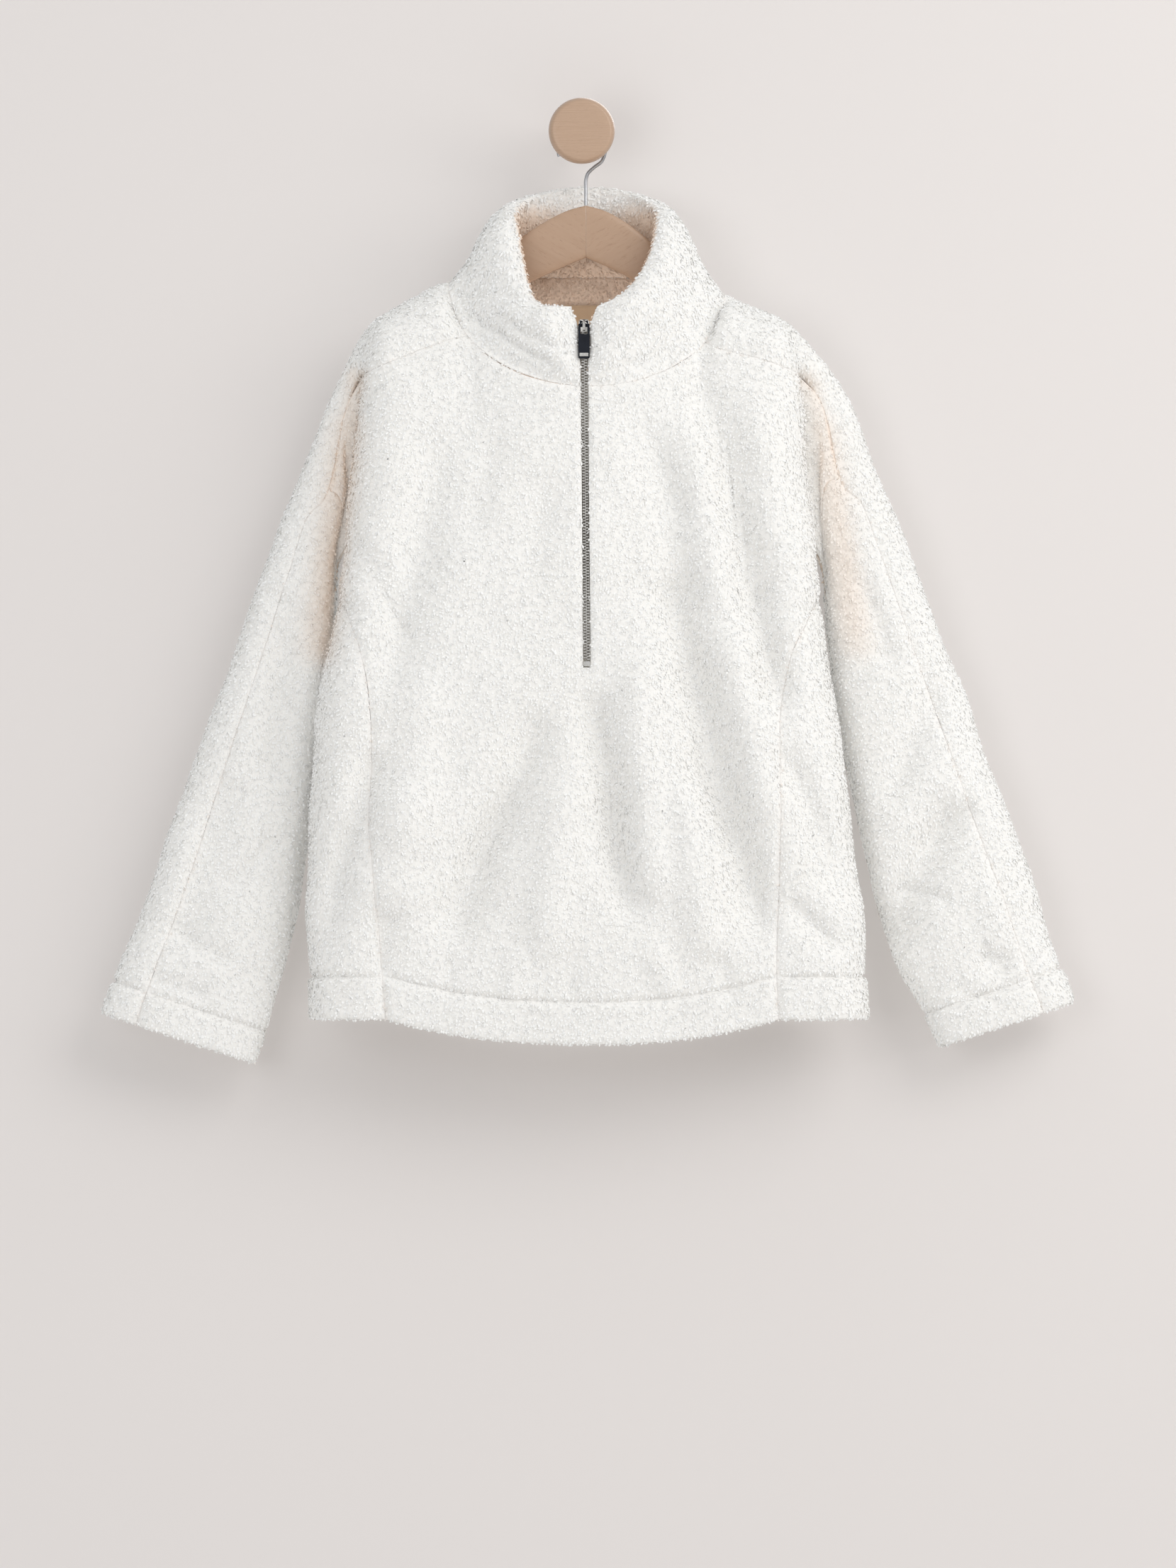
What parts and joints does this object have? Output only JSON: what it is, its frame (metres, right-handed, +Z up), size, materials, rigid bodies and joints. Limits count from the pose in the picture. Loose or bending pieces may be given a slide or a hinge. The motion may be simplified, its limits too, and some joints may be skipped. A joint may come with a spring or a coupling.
{
  "type": "sherpa fleece pullover on a wooden hanger and wall peg",
  "caption": "Half-zip high-pile fleece pullover with a stand collar and shoulder saddles, hung flat on a two-arm wooden hanger from a turned wooden wall peg.",
  "frame": {"origin": "middle of the peg's foot, on the wall", "axes": "+Y into the wall, -Y towards the viewer, +Z up, +X to the viewer's right"},
  "size_m": [0.8266, 0.1273, 0.8171],
  "materials": {
    "sherpa_fleece": "high pile, matt",
    "beech": "satin lacquer",
    "bright_steel": "worn nickel plate",
    "dark_enamel": "satin enamel",
    "cotton_tape": "matt",
    "tan_ribbon": "woven, slight sheen"
  },
  "bodies": {
    "garment": {"back_panel": "sherpa_fleece", "collar": "sherpa_fleece", "front_panel": "sherpa_fleece", "hanger_arm_left": "beech", "hanger_arm_right": "beech", "hanger_hook": "bright_steel", "neck_label": "tan_ribbon", "peg_disc": "beech", "peg_stem": "bright_steel", "saddle_left_shoulder": "sherpa_fleece", "saddle_left_elbow": "sherpa_fleece", "saddle_left_cuff": "sherpa_fleece", "saddle_right_shoulder": "sherpa_fleece", "saddle_right_elbow": "sherpa_fleece", "saddle_right_cuff": "sherpa_fleece", "side_panel_left": "sherpa_fleece", "side_panel_right": "sherpa_fleece", "sleeve_back_left_upper": "sherpa_fleece", "sleeve_back_left_lower": "sherpa_fleece", "sleeve_back_right_upper": "sherpa_fleece", "sleeve_back_right_lower": "sherpa_fleece", "sleeve_front_left_upper": "sherpa_fleece", "sleeve_front_left_lower": "sherpa_fleece", "sleeve_front_right_upper": "sherpa_fleece", "sleeve_front_right_lower": "sherpa_fleece", "zip_bottom_stop": "bright_steel", "zip_bridge": "bright_steel", "zip_chain": "bright_steel", "zip_slider": "bright_steel", "zip_tape": "cotton_tape"},
    "zip_pull": {"pull_plate": "dark_enamel", "pull_end_plate": "bright_steel"}
  },
  "joints": [
    {"name": "pull_swing", "type": "hinge", "parent": "garment", "child": "zip_pull", "pos_m": [0.00189, -0.1129, -0.1652], "axis": [-1, 0, 0], "range_deg": [0, 165]}
  ]
}
